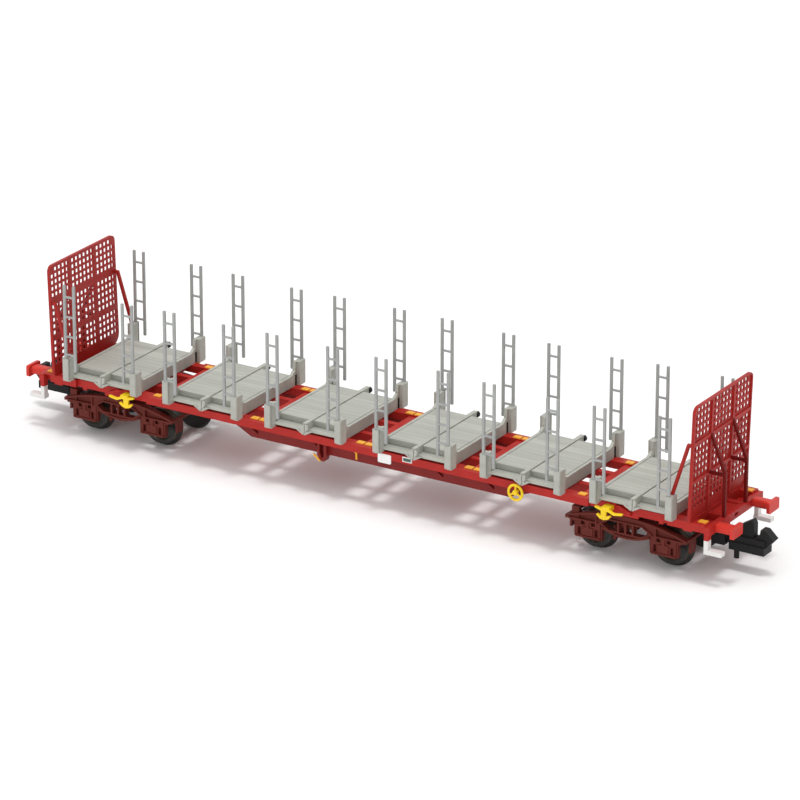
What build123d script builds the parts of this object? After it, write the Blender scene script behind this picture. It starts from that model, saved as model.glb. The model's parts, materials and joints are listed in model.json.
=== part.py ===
"""Log carrier wagon, a 1:160 model of a bogie flat with six log pallets. Millimetres, +X along
the wagon, +Z up, origin on the floor under the middle of the wagon, wheels standing on the flanges."""
import math
import os

from build123d import *

os.makedirs("parts", exist_ok=True)

# Running gear
pivot_x = 44.4
wheelbase = 12.5
tread_d = 5.75
flange_d = 6.9
back_to_back = 7.4
flange_t = 0.6
wheel_face_y = 5.2
hub_d = 1.8
rim_in_d = 4.6
dish_depth = 0.4
axle_d = 1.0
axle_tip_y = 6.9
axle_tip_d = 0.2
axle_cone = 0.7
socket_gap = 0.15
socket_r = 0.55

# Bogie side frames, heights from the floor
frame_inner_y = 6.4
frame_t = 0.8
edge_proud = 0.25
edge_w = 0.32
pedestal_proud = 0.12
bogie_half = 10.0
frame_top_mid = 7.35
frame_top_end = 5.65
frame_end_low = 5.2
pedestal_low = 2.65
pedestal_half = 2.3
pedestal_top = 5.35
bow_low = 3.9
bow_end = 4.75
window_half = 3.9
window_square = 2.7
window_low = 4.75
window_high = 6.25
window_bar = 0.32
bar_pitch = 1.2
pocket_cut = 0.5
pocket_w = 0.62
pocket_z = 4.93
pocket_off = 0.85
groove_w = 0.5
groove_h = 1.1
groove_z = 3.6
groove_off = 1.4
guide_proud = 0.15
guide_half = 0.85
guide_low = 3.1
guide_high = 4.3
guide_post = 0.22
guide_top = 5.4
lip_h = 0.28
rail_x = 4.75
rail_low = 5.2
rail_h = 0.25
panel_cut = 0.25
window_rim = 0.24
shoe_in_y = 4.45
shoe_low = 3.3
shoe_t = 0.35
shoe_out_y = 6.0
lug_x = 8.4
lug_w = 1.2
lug_top = 7.2
bolster_half = 1.6
bolster_low = 5.4
bolster_top = 6.9
end_beam_t = 0.5
end_beam_low = 5.2
end_beam_top = 5.6

# Main frame
sill_half = 57.7
sill_y = 8.2
sill_w = 1.8
sill_low = 8.0
sill_top = 9.2
recess_in = 38.6
recess_out = 51.6
recess_d = 0.55
skew_in = 43.1
skew_out = 45.6
skew_drop = 0.7
foot_x = 50.0
foot_w = 0.7
foot_drop = 0.35
inner_y = 2.2
inner_w = 1.0
inner_low = 7.55
inner_top = 9.0
cross_w = 1.8
cross_low = 8.2
cross_lead = 0.35
under_cross = 4.4
bolster_beam = 2.2
floor_low = 8.2
floor_top = 8.6
headstock_x = 58.5
headstock_t = 0.9
headstock_low = 7.65
headstock_top = 8.95
panel_y = 3.0
hook_hole_d = 0.6
hook_hole_z = 8.3
hook_hole_y = 0.28
sunken_low = 7.75
sunken_top = 8.0
panel_rim = 0.6
panel_step = 0.12
corner_notch_in = 56.35
corner_notch_d = 1.2
corner_notch_top = 0.2
pivot_boss_d = 3.4
pivot_pin_d = 1.6
pivot_gap = 0.1
pin_gap = 0.2
pin_low = 5.7

# Fish belly webs and brake bracket, as seen on the near side
belly_y = 7.2
belly_t = 0.9
belly_low = 6.15
belly_left = -23.8
belly_left_foot = -20.1
belly_right_foot = 24.8
belly_right = 29.7
gusset_x = (-18.9, -7.9, 3.1, 13.6, 22.3)
gusset_w = 1.9
gusset_h = 1.25
gusset_cut = 0.35
bracket_x = -7.1
bracket_reach = 0.8
bracket_bar = 0.43
bracket_foot = 5.25
bracket_proud = 0.85

# Buffers
buffer_y = 5.6
buffer_z = 8.3
buffer_case_w = 1.7
buffer_case_h = 1.3
buffer_case_r = 0.45
buffer_head_w = 3.1
buffer_head_h = 1.8
buffer_head_t = 0.5
buffer_head_r = 0.3
buffer_reach = 61.7

# Shunter's steps and their hangers
hanger_in = 0.1
hanger_w = 0.7
hanger_t = 1.0
hanger_low = 6.9
step_low = 4.8
step_foot_t = 0.65
step_foot_x = 60.45
step_foot_w = 1.2

# Couplers
coupler_pivot_x = 56.8
pocket_back = 55.3
pocket_front = 57.4
pocket_half = 1.5
pocket_wall = 0.4
pocket_low = 3.7
pocket_h = 1.9
pocket_stem_w = 1.8
pocket_stem_l = 1.6
shank_h = 0.8
shank_half = 0.45
shank_pin_d = 0.6
shank_pin_gap = 0.1
shank_eye_d = 1.5
shank_gap = 0.15
head_x = 58.0
head_front = 63.7
head_half = 1.25
head_waist = 1.0
head_low = 3.2
head_mid = 4.4
head_top = 5.4
riser_t = 1.3
riser_x = 59.5
riser_w = 2.2
riser_top = 8.2
prong_t = 1.5
prong_reach = 65.0
prong_top = 7.0
prong_low = 4.0
drop_pin_x = 58.7
drop_pin_d = 0.8
drop_pin_low = 1.55

# Pallets
pallet_x = (-46.28, -27.93, -9.52, 9.52, 27.93, 46.28)
deck_half_y = 6.9
deck_top = 11.0
board_t = 0.14
board_over = 0.45
deck_low = 9.6
joint_w = 0.12
joint_depth = 0.15
plate_in = 5.7
plate_out = 6.2
slot_w = 0.3
slot_top = 10.95
post_in_y = 7.95
post_out_y = 9.75
post_in_x = 5.65
post_out_x = 6.75
post_top = 13.0
post_nose = 0.4
post_round = 0.3
post_groove_w = 0.2
post_groove_d = 0.35
post_groove_in = 0.28
curve_start = 6.2
curve_r = 1.45
curve_lip = 0.2
curve_high = 12.45
ledge_y = 8.3
ledge_low = 9.6
ledge_top = 9.95
rib_half = 0.32
rib_y = 8.9
rib_proud = 0.12
fork_half = 1.3
fork_t = 0.5
fork_low = 9.3
fork_slot = 0.16
wedge_tip = 9.7
wedge_root = 10.3
eye_d = 0.45
eye_y = 7.3
eye_z = 11.75

# Stake ladders
ladder_inset = 0.37
rail_pitch = 1.75
rail_w = 0.42
rail_t = 0.34
rung_h = 0.26
ladder_top = 24.4
rail_free = 11.05
rung_drops = (1.9, 5.1, 8.3, 11.25)

# End walls
wall_x = 55.13
wall_lean = 1.7
wall_half = 8.72
wall_h = 17.86
wall_t = 0.27
wall_corner = 1.0
wall_foot = 1.9
wall_foot_near = 0.4
wall_rib_t = 0.2
wall_rib_w = 0.5
wall_rim_w = 0.3
band_low_h = 6.18
band_high_h = 12.1
band_y = 3.28
hole_w = 0.76
hole_h = 0.68
strut_t = 0.5
strut_w = 0.5
strut_back = 0.3
knee_h = 6.5
tie_h = 0.4
strut_foot = 0.9
brace_y = 8.4
brace_t = 0.45
brace_w = 0.5
brace_stub = 0.7

# Small fittings
pad_w = 1.25
pad_d = 0.95
pad_t = 0.14
pad_y = 7.0
pad_pair = 0.75
pad_end = 0.85
pad_bogie_x = 47.3
handwheel_x = 26.94
handwheel_z = 7.95
handwheel_d = 2.7
handwheel_y = 9.0
wheel_rim_d = 0.42
spoke_w = 0.36
wheel_hub_d = 0.9
valve_x = 42.0
valve_z = 8.6
valve_y = 9.0
valve_t = 0.4
lever_t = 0.22
plate_t = 0.15
white_plate_x = 4.09
white_plate_w = 2.26
white_plate_z = 8.14
white_plate_h = 1.43
white_plate_c = 0.15
green_plate_x = 8.03
green_plate_w = 1.59
green_plate_z = 8.75
green_plate_h = 0.78

axle_z = flange_d / 2
strut_y = band_y
strut_x = headstock_x - strut_back
shank_z = pocket_low + pocket_h / 2
ladder_y = post_out_y - ladder_inset
rail_out = (post_in_x + post_out_x) / 2
rail_in = rail_out - rail_pitch
recess_y = sill_y - recess_d
hanger_x = sill_half - hanger_in
gap_x = [(a + b) / 2 for a, b in zip(pallet_x, pallet_x[1:])]
ends = (("left", -1), ("right", 1))
sides = (("near", -1), ("far", 1))


def save(part, name):
    part.label = name
    export_step(part, "parts/" + name + ".step")


def box(x0, x1, y0, y1, z0, z1, mode=Mode.ADD):
    with Locations(((x0 + x1) / 2, (y0 + y1) / 2, (z0 + z1) / 2)):
        Box(abs(x1 - x0), abs(y1 - y0), abs(z1 - z0), mode=mode)


def profile(points, y0, y1, mode=Mode.ADD):
    with BuildSketch(Plane.XZ.offset(-(y0 + y1) / 2)) as outline:
        with BuildLine():
            Polyline(*points, close=True)
        make_face()
    extrude(outline.sketch, amount=abs(y1 - y0) / 2, both=True, mode=mode)


def turned(part):
    return part.rotate(Axis.Z, 180)


def moved(part, x):
    return part.moved(Location((x, 0, 0)))


# Main frame: sills, inner longitudinals, cross members, floor and headstocks
with BuildPart() as underframe:
    sill_mid = sill_y - sill_w / 2
    beam_half = headstock_x - headstock_t / 2
    with BuildSketch(Plane.XY.offset(sill_low)):
        for t in (-1, 1):
            with Locations((0, t * sill_mid)):
                Rectangle(2 * sill_half, sill_w)
            for s in (-1, 1):
                with Locations((s * (recess_in + recess_out) / 2, t * sill_y)):
                    Rectangle(recess_out - recess_in, 2 * recess_d, mode=Mode.SUBTRACT)
    extrude(amount=sill_top - sill_low)
    with BuildSketch(Plane.XY.offset(cross_low)):
        for x in gap_x:
            with Locations((x + cross_lead, 0)):
                Rectangle(cross_w, 2 * sill_mid)
        for x in pallet_x:
            for e in (-1, 1):
                with Locations((x + e * under_cross, 0)):
                    Rectangle(cross_w, 2 * sill_mid)
    extrude(amount=inner_top - cross_low)
    with BuildSketch(Plane.XY.offset(inner_low)):
        for t in (-1, 1):
            with Locations((0, t * (inner_y + inner_w / 2))):
                Rectangle(2 * beam_half, inner_w)
        for s in (-1, 1):
            with Locations((s * pivot_x, 0)):
                Rectangle(2 * bolster_beam, 2 * recess_y)
    extrude(amount=inner_top - inner_low)
    for x in pallet_x:
        box(x - under_cross, x + under_cross, -inner_y, inner_y, floor_low, floor_top)
    for s in (-1, 1):
        box(s * (recess_out + cross_w), s * beam_half, -sill_mid, sill_mid, sunken_low, sunken_top)
        box(s * (wall_x - wall_foot / 2), s * (wall_x + wall_t + wall_rib_t), -sill_y, sill_y, sunken_low, sill_top)
        box(s * (headstock_x - headstock_t), s * headstock_x, -sill_y, sill_y, headstock_low, headstock_top)
        box(s * wall_x, s * headstock_x, -panel_y, panel_y, sunken_low, headstock_top - panel_step)
        box(s * (headstock_x - panel_rim), s * headstock_x, -panel_y, panel_y, sunken_low, headstock_top)
        for t in (-1, 1):
            with Locations(Location((s * headstock_x, t * hook_hole_y, hook_hole_z), (0, 90, 0))):
                Cylinder(hook_hole_d / 2, headstock_t, mode=Mode.SUBTRACT)
        box(s * corner_notch_in, s * (headstock_x - headstock_t), s * sill_y, s * (sill_y - corner_notch_d),
            headstock_low, sill_top - corner_notch_top, Mode.SUBTRACT)
        for t in (-1, 1):
            profile(((s * skew_in, sill_top), (s * (skew_in + skew_drop), sill_top),
                     (s * skew_out, sill_top - skew_drop), (s * skew_out, sill_low),
                     (s * (skew_out - skew_drop), sill_low)),
                    t * (sill_y - sill_w), t * sill_y)
            box(s * foot_x, s * (foot_x + foot_w), t * recess_y, t * (sill_y - sill_w), sill_low - foot_drop, sill_top)
save(underframe.part, "underframe")

# Bosses and pins that the bogies swivel on
with BuildPart() as bosses:
    for s in (-1, 1):
        with BuildSketch(Plane.XY.offset(bolster_top + pivot_gap)):
            with Locations((s * pivot_x, 0)):
                Circle(pivot_boss_d / 2)
        extrude(amount=inner_low - bolster_top - pivot_gap)
save(bosses.part, "pivot_bosses")
with BuildPart() as pins:
    for s in (-1, 1):
        with BuildSketch(Plane.XY.offset(pin_low)):
            with Locations((s * pivot_x, 0)):
                Circle(pivot_pin_d / 2)
        extrude(amount=bolster_top + pivot_gap - pin_low)
save(pins.part, "pivot_pins")

# Fish belly web with triangular recesses and the forked bracket of the brake gear
with BuildPart() as belly:
    profile(((belly_left, sill_low), (belly_left_foot, belly_low), (belly_right_foot, belly_low),
             (belly_right, sill_low)), -belly_y, -belly_y + belly_t)
    for x in gusset_x:
        profile(((x - gusset_w, sill_low), (x, sill_low), (x, sill_low - gusset_h)),
                -belly_y - gusset_cut, -belly_y + gusset_cut, Mode.SUBTRACT)
    left = bracket_x - bracket_reach
    right = bracket_x + bracket_reach
    foot_top = bracket_foot + 2 * bracket_bar
    profile(((left, sill_low), (left, foot_top), (bracket_x - bracket_bar / 2, bracket_foot),
             (bracket_x + bracket_bar, bracket_foot), (right, foot_top), (right, sill_low),
             (right - bracket_bar, sill_low), (right - bracket_bar, foot_top),
             (bracket_x, bracket_foot + bracket_bar), (left + bracket_bar, foot_top + bracket_bar),
             (left + bracket_bar, sill_low)), -belly_y - bracket_proud, -belly_y + gusset_cut + 0.1)
save(belly.part, "fish_belly_near")
save(turned(belly.part), "fish_belly_far")

# Buffers: rectangular casing and head with rounded corners
with BuildPart() as buffers:
    for s in (-1, 1):
        for t in (-1, 1):
            head_in = buffer_reach - buffer_head_t
            with BuildSketch(Plane.YZ.offset(s * (headstock_x + head_in) / 2)):
                with Locations((t * buffer_y, buffer_z)):
                    RectangleRounded(buffer_case_w, buffer_case_h, buffer_case_r)
            extrude(amount=(head_in - headstock_x) / 2, both=True)
            with BuildSketch(Plane.YZ.offset(s * (buffer_reach + head_in) / 2)):
                with Locations((t * buffer_y, buffer_z)):
                    RectangleRounded(buffer_head_w, buffer_head_h, buffer_head_r)
            extrude(amount=buffer_head_t / 2, both=True)
save(buffers.part, "buffers")

# Shunter's steps under the corners, with their hangers
with BuildPart() as hangers:
    for s in (-1, 1):
        for t in (-1, 1):
            box(s * hanger_x, s * (hanger_x + hanger_w), t * sill_y, t * (sill_y - hanger_t), hanger_low, headstock_low)
save(hangers.part, "step_hangers")
with BuildPart() as steps:
    for s in (-1, 1):
        for t in (-1, 1):
            profile(((s * hanger_x, hanger_low), (s * (hanger_x + hanger_w), hanger_low),
                     (s * (hanger_x + hanger_w), step_low), (s * hanger_x, step_low)),
                    t * sill_y, t * (sill_y - hanger_t))
            box(s * hanger_x, s * step_foot_x, t * sill_y, t * (sill_y - step_foot_w), step_low, step_low + step_foot_t)
save(steps.part, "corner_steps")

# Pallet: planked deck, end plates with curved upstands, posts, ledges and centre rib with forks
with BuildPart() as pallet:
    box(-plate_in, plate_in, -deck_half_y + board_over, deck_half_y - board_over, deck_low, deck_top)
    box(-plate_in, plate_in, -deck_half_y, deck_half_y, deck_top - board_t, deck_top)
    for x in (rib_half, plate_in - joint_w):
        for e in (-1, 1):
            box(e * x, e * (x + joint_w), -deck_half_y, deck_half_y, deck_top - joint_depth, deck_top, Mode.SUBTRACT)
    box(-rib_half, rib_half, -deck_half_y, deck_half_y, deck_low, deck_top + rib_proud)
    with BuildSketch(Plane.YZ):
        for t in (-1, 1):
            with BuildLine():
                root = t * (deck_half_y - 2 * board_over)
                Polyline((root, deck_top + rib_proud), (t * rib_y, deck_top + rib_proud), (t * rib_y, wedge_tip),
                         (root, wedge_root), close=True)
            make_face()
    extrude(amount=rib_half, both=True)
    slot_in = post_in_y - slot_w
    for e in (-1, 1):
        with BuildSketch(Plane.YZ.offset(e * (plate_in + plate_out) / 2)):
            for t in (-1, 1):
                with BuildLine():
                    lip = (t * (slot_in - curve_lip / 2), curve_high)
                    Polyline((0, sill_top), (0, deck_top), (t * curve_start, deck_top))
                    RadiusArc((t * curve_start, deck_top), lip, -t * curve_r)
                    Polyline(lip, (t * slot_in, post_top), (t * post_in_y, post_top), (t * post_in_y, slot_top),
                             (t * slot_in, slot_top), (t * slot_in, sill_top), (0, sill_top))
                make_face()
                with Locations((t * eye_y, eye_z)):
                    Circle(eye_d / 2, mode=Mode.SUBTRACT)
        extrude(amount=(plate_out - plate_in) / 2, both=True)
        for t in (-1, 1):
            with BuildSketch(Plane.XY.offset(sill_top)):
                with Locations((e * (post_in_x + post_out_x) / 2, t * (post_in_y + post_out_y) / 2)):
                    RectangleRounded(post_out_x - post_in_x, post_out_y - post_in_y, post_round)
                with Locations((e * (post_in_x + post_out_x) / 2, t * (post_in_y + post_round / 2))):
                    Rectangle(post_out_x - post_in_x, post_round)
                with Locations((e * post_in_x, t * (post_out_y - post_groove_in - post_groove_w / 2))):
                    Rectangle(2 * post_groove_d, post_groove_w, mode=Mode.SUBTRACT)
            extrude(amount=post_top - sill_top)
            with BuildSketch(Plane.YZ.offset(e * (post_in_x + post_out_x) / 2)):
                with BuildLine():
                    Polyline((t * post_out_y, sill_top), (t * post_out_y, sill_top + post_nose),
                             (t * (post_out_y - post_nose), sill_top), close=True)
                make_face()
            extrude(amount=post_out_x - post_in_x, both=True, mode=Mode.SUBTRACT)
    for t in (-1, 1):
        box(-post_in_x, post_in_x, t * (deck_half_y - 2 * board_over), t * ledge_y, ledge_low, ledge_top)
        profile(((-fork_half, ledge_top), (fork_half, ledge_top), (fork_slot, fork_low), (-fork_slot, fork_low)),
                t * (rib_y - fork_t / 2), t * (rib_y + fork_t / 2))
        box(-fork_slot / 2, fork_slot / 2, t * rib_y, t * (rib_y + fork_t), fork_low, ledge_top, Mode.SUBTRACT)
for n, x in enumerate(pallet_x, 1):
    save(moved(pallet.part, x), "pallet_" + str(n))

# Ladders: lift of each top above the common height, millimetres
ladder_lifts = (
    {"near_left": 0.53, "near_right": -0.42, "far_left": 0.45, "far_right": 0.14},
    {"near_left": -0.09, "near_right": -0.19, "far_left": -0.01, "far_right": -0.19},
    {"near_left": 0.02, "near_right": 0.02, "far_left": -0.03, "far_right": 0.11},
    {"near_left": 0.03, "near_right": 0.02, "far_left": 0.13, "far_right": -0.1},
    {"near_left": -0.17, "near_right": -0.36, "far_left": -0.21, "far_right": -0.26},
    {"near_left": -0.05, "near_right": 0.6, "far_left": 0.19, "far_right": 0.48},
)
for n, (cx, lifts) in enumerate(zip(pallet_x, ladder_lifts), 1):
    with BuildPart() as ladders:
        for side, t in sides:
            with BuildSketch(Plane.XZ.offset(-t * ladder_y)):
                for end, e in ends:
                    top = ladder_top + lifts[side + "_" + end]
                    for reach, low in ((rail_out, post_top), (rail_in, rail_free)):
                        with Locations((cx + e * reach, (low + top) / 2)):
                            Rectangle(rail_w, top - low)
                    for drop in rung_drops:
                        z = max(top - drop, post_top + rung_h / 2)
                        with Locations((cx + e * (rail_in + rail_out) / 2, z)):
                            Rectangle(rail_pitch, rung_h)
            extrude(amount=rail_t / 2, both=True)
    save(ladders.part, "ladders_" + str(n))

# End wall with perforations, outer ribs and rim, leaning outward by a small angle
lean = math.radians(wall_lean)
wall_plane = Plane(origin=(wall_x, 0, sill_top), x_dir=(0, 1, 0), z_dir=(math.cos(lean), 0, -math.sin(lean)))
hole_columns = (0.5, 1.52, 2.54, 4.02, 5.05, 6.05, 7.05, 8.0)
hole_bands = (
    {"first": 2.27, "pitch": 1.033, "count": 4},
    {"first": 6.99, "pitch": 1.035, "count": 5},
    {"first": 13.05, "pitch": 1.0, "count": 5},
)
hole_rows = [band["first"] + i * band["pitch"] for band in hole_bands for i in range(band["count"])]
hole_places = [(t * y, h) for t in (-1, 1) for y in hole_columns for h in hole_rows
               if y < hole_columns[-1] or h < hole_rows[-1]]


def wall_outline(inset):
    half = wall_half - inset
    low = inset
    high = wall_h - inset
    r = wall_corner - inset
    k = 1 - math.sqrt(0.5)
    for t, foot in ((-1, wall_foot_near), (1, wall_foot)):
        q = foot - inset
        Line((0, high), (t * (half - r), high))
        ThreePointArc((t * (half - r), high), (t * (half - k * r), high - k * r), (t * half, high - r))
        Line((t * half, high - r), (t * half, low + q))
        ThreePointArc((t * half, low + q), (t * (half - k * q), low + k * q), (t * (half - q), low))
        Line((t * (half - q), low), (0, low))


with BuildPart() as wall:
    with BuildSketch(wall_plane):
        with BuildLine():
            wall_outline(0)
        make_face()
        with Locations(*hole_places):
            Rectangle(hole_w, hole_h, mode=Mode.SUBTRACT)
    extrude(amount=wall_t)
    with BuildSketch(wall_plane.offset(wall_t)):
        with BuildLine():
            wall_outline(0)
        make_face()
        with BuildLine():
            wall_outline(wall_rim_w)
        make_face(mode=Mode.SUBTRACT)
        for h in (band_low_h, band_high_h):
            with Locations((0, h)):
                Rectangle(2 * wall_half, wall_rib_w)
        for t in (-1, 1):
            with Locations((t * band_y, wall_h / 2)):
                Rectangle(wall_rib_w, wall_h)
    extrude(amount=wall_rib_t)
    box(wall_x - 1, wall_x + 2, -wall_half, wall_half, sill_top - 1, sill_top, Mode.SUBTRACT)
save(wall.part, "end_wall_right")
save(mirror(wall.part, about=Plane.YZ), "end_wall_left")

# Outer struts of the end wall: post, tie and slanted head
face_x = wall_x + (wall_t + wall_rib_t) / math.cos(lean)
rise = math.tan(lean)
with BuildPart() as struts:
    for t in (-1, 1):
        y0 = t * strut_y - strut_t / 2
        y1 = t * strut_y + strut_t / 2
        knee_z = sill_top + knee_h
        high_z = sill_top + band_high_h + wall_rib_w / 2
        tie_z = sill_top + band_low_h + tie_h / 2
        outer = strut_x + strut_w / 2
        inner = strut_x - strut_w / 2
        profile(((outer, headstock_top), (outer, knee_z), (face_x + rise * (high_z - sill_top), high_z),
                 (face_x + rise * (high_z - strut_foot - sill_top), high_z - strut_foot),
                 (inner, knee_z), (inner, headstock_top)), y0, y1)
        profile(((strut_x, tie_z), (face_x + rise * (tie_z - sill_top), tie_z),
                 (face_x + rise * (tie_z - tie_h - sill_top), tie_z - tie_h), (strut_x, tie_z - tie_h)), y0, y1)
save(struts.part, "wall_struts_right")
save(turned(struts.part), "wall_struts_left")

# Side braces from the wall edges down to the outermost posts
with BuildPart() as braces:
    brace_z = sill_top + band_high_h
    edge_x = wall_x + rise * band_high_h
    brace_foot = pallet_x[5] + (post_in_x + post_out_x) / 2
    for t in (-1, 1):
        profile(((edge_x, brace_z), (edge_x - brace_stub, brace_z), (brace_foot - brace_w / 2, post_top),
                 (brace_foot + brace_w / 2, post_top), (edge_x - brace_stub / 2, brace_z - brace_w),
                 (edge_x - rise * brace_w, brace_z - brace_w)),
                t * brace_y - brace_t / 2, t * brace_y + brace_t / 2)
save(braces.part, "wall_braces_right")
save(turned(braces.part), "wall_braces_left")

# Bogie frame: two side frames with raised edges and windows, bolster and end beams
with BuildPart() as bogie:
    bow_half = wheelbase / 2 - pedestal_half
    window_z = (window_low + window_high) / 2
    pointed = ((1, 0, 0), (0, 1, 1), (0, -1, 1), (-1, 0, 0), (0, -1, -1), (0, 1, -1))
    for t in (-1, 1):
        face_y = frame_inner_y + frame_t
        with BuildSketch(Plane.XZ.offset(-t * (frame_inner_y + frame_t / 2))):
            for w in (-1, 1):
                pedestal_in = wheelbase / 2 - pedestal_half
                pedestal_out = wheelbase / 2 + pedestal_half
                with BuildLine():
                    ThreePointArc((-w * bogie_half, frame_top_end), (0, frame_top_mid), (w * bogie_half, frame_top_end))
                    Polyline((w * bogie_half, frame_top_end), (w * bogie_half, frame_end_low),
                             (w * pedestal_out, bow_end), (w * pedestal_out, pedestal_low),
                             (w * pedestal_in, pedestal_low), (w * pedestal_in, bow_end))
                    ThreePointArc((w * pedestal_in, bow_end), (0, bow_low), (-w * pedestal_in, bow_end))
                    Line((-w * pedestal_in, bow_end), (-w * bogie_half, frame_top_end))
                make_face()
            with BuildLine():
                Polyline(*[(a * window_half + b * window_square, window_z + c * (window_high - window_low) / 2)
                           for a, b, c in pointed], close=True)
            make_face(mode=Mode.SUBTRACT)
            for i in (-1, 0, 1):
                with Locations((i * bar_pitch, window_z)):
                    Rectangle(window_bar, window_high - window_low + edge_w)
        extrude(amount=frame_t / 2, both=True)
        with BuildSketch(Plane.XZ.offset(-t * (face_y + edge_proud / 2))):
            with BuildLine():
                ThreePointArc((-bogie_half, frame_top_end), (0, frame_top_mid), (bogie_half, frame_top_end))
                Line((bogie_half, frame_top_end), (bogie_half, frame_top_end - edge_w))
                ThreePointArc((bogie_half, frame_top_end - edge_w), (0, frame_top_mid - edge_w),
                              (-bogie_half, frame_top_end - edge_w))
                Line((-bogie_half, frame_top_end - edge_w), (-bogie_half, frame_top_end))
            make_face()
            with BuildLine():
                ThreePointArc((-bow_half, bow_end), (0, bow_low), (bow_half, bow_end))
                Line((bow_half, bow_end), (bow_half, bow_end + edge_w))
                ThreePointArc((bow_half, bow_end + edge_w), (0, bow_low + edge_w), (-bow_half, bow_end + edge_w))
                Line((-bow_half, bow_end + edge_w), (-bow_half, bow_end))
            make_face()
            for grow, way in ((window_rim, Mode.ADD), (0, Mode.SUBTRACT)):
                with BuildLine():
                    Polyline(*[(a * (window_half + 2 * grow) + b * window_square,
                                window_z + c * ((window_high - window_low) / 2 + grow)) for a, b, c in pointed], close=True)
                make_face(mode=way)
            for i in (-1, 0, 1):
                with Locations((i * bar_pitch, window_z)):
                    Rectangle(window_bar, window_high - window_low + edge_w)
        extrude(amount=edge_proud / 2, both=True)
        for w in (-1, 1):
            wx = w * wheelbase / 2
            outer = face_y + pedestal_proud
            proud = outer + guide_proud
            half = pedestal_half - edge_proud
            box(wx - half, wx + half, t * (frame_inner_y + edge_proud), t * outer, pedestal_low, pedestal_top)
            box(wx - guide_half, wx + guide_half, t * face_y, t * proud, guide_low, guide_high)
            box(wx - guide_post, wx + guide_post, t * face_y, t * proud, guide_low, guide_top)
            box(wx - half, wx + half, t * face_y, t * proud, pedestal_low, pedestal_low + lip_h)
            box(w * (bogie_half - shoe_t), w * bogie_half, t * shoe_in_y, t * shoe_out_y, shoe_low, end_beam_top)
            rail_top = frame_top_mid - (frame_top_mid - frame_top_end) * (rail_x / bogie_half) ** 2 - edge_w
            panel_low = rail_low + rail_h
            profile(((w * (rail_x + rail_h), panel_low), (w * (bogie_half - edge_w), panel_low),
                     (w * (rail_x + rail_h), rail_top)),
                    t * (face_y - panel_cut), t * (face_y + panel_cut), Mode.SUBTRACT)
            box(w * rail_x, w * (rail_x + rail_h), t * (face_y - panel_cut), t * (face_y + edge_proud), rail_low,
                rail_top)
            box(w * rail_x, w * bogie_half, t * (face_y - panel_cut), t * (face_y + edge_proud), rail_low, panel_low)
            for v in (-1, 1):
                box(wx + v * pocket_off - pocket_w / 2, wx + v * pocket_off + pocket_w / 2, t * (outer - pocket_cut),
                    t * (outer + pocket_cut), pocket_z - pocket_w / 2, pocket_z + pocket_w / 2, Mode.SUBTRACT)
                box(wx + v * groove_off - groove_w / 2, wx + v * groove_off + groove_w / 2, t * (outer - pocket_cut),
                    t * (outer + pocket_cut), groove_z - groove_h / 2, groove_z + groove_h / 2, Mode.SUBTRACT)
        box(t * lug_x - lug_w / 2, t * lug_x + lug_w / 2, t * frame_inner_y, t * face_y, frame_end_low, lug_top)
    box(-bolster_half, bolster_half, -frame_inner_y - frame_t / 2, frame_inner_y + frame_t / 2, bolster_low, bolster_top)
    for w in (-1, 1):
        box(w * (bogie_half - end_beam_t), w * bogie_half, -frame_inner_y - frame_t / 2, frame_inner_y + frame_t / 2,
            end_beam_low, end_beam_top)
        with Locations(Location((w * wheelbase / 2, 0, axle_z), (90, 0, 0))):
            Cylinder(socket_r, 2 * (axle_tip_y + socket_gap), mode=Mode.SUBTRACT)
    with Locations((0, 0, bolster_top)):
        Cylinder(pivot_pin_d / 2 + pin_gap, 4 * (bolster_top - bolster_low), mode=Mode.SUBTRACT)
for end, s in ends:
    save(moved(bogie.part, s * pivot_x), "bogie_frame_" + end)

# Wheelset: two dished wheels with flanges on a pointed axle
with BuildPart() as wheelset:
    with BuildSketch(Plane.YZ):
        with BuildLine():
            Polyline(
                (0, axle_z),
                (axle_tip_y, axle_z),
                (axle_tip_y, axle_z + axle_tip_d / 2),
                (axle_tip_y - axle_cone, axle_z + axle_d / 2),
                (wheel_face_y, axle_z + axle_d / 2),
                (wheel_face_y, axle_z + hub_d / 2),
                (wheel_face_y - dish_depth, axle_z + hub_d / 2 + dish_depth / 2),
                (wheel_face_y - dish_depth, axle_z + rim_in_d / 2 - dish_depth / 2),
                (wheel_face_y, axle_z + rim_in_d / 2),
                (wheel_face_y, axle_z + tread_d / 2),
                (back_to_back / 2 + flange_t, axle_z + tread_d / 2),
                (back_to_back / 2 + flange_t / 2, axle_z + flange_d / 2),
                (back_to_back / 2, axle_z + flange_d / 2 - flange_t / 2),
                (back_to_back / 2, axle_z + axle_d / 2),
                (0, axle_z + axle_d / 2),
                close=True,
            )
        make_face()
    revolve(axis=Axis((0, 0, axle_z), (0, 1, 0)))
    mirror(about=Plane.XZ)
for n, x in enumerate((-pivot_x - wheelbase / 2, -pivot_x + wheelbase / 2,
                       pivot_x - wheelbase / 2, pivot_x + wheelbase / 2), 1):
    save(moved(wheelset.part, x), "wheelset_" + str(n))

# Coupler pocket under the headstock
with BuildPart() as pocket:
    box(pocket_back, pocket_front, -pocket_half, pocket_half, pocket_low, pocket_low + pocket_h)
    box(pocket_back + pocket_wall, pocket_front + pocket_wall, -pocket_half + pocket_wall, pocket_half - pocket_wall,
        shank_z - shank_h / 2 - shank_gap, shank_z + shank_h / 2 + shank_gap, Mode.SUBTRACT)
    box(pocket_back, pocket_back + pocket_stem_l, -pocket_stem_w / 2, pocket_stem_w / 2,
        pocket_low + pocket_h - pocket_wall / 2, sunken_low)
    with Locations((coupler_pivot_x, 0, shank_z)):
        Cylinder(shank_pin_d / 2, pocket_h - pocket_wall)
save(pocket.part, "coupler_pocket_right")
save(turned(pocket.part), "coupler_pocket_left")

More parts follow.
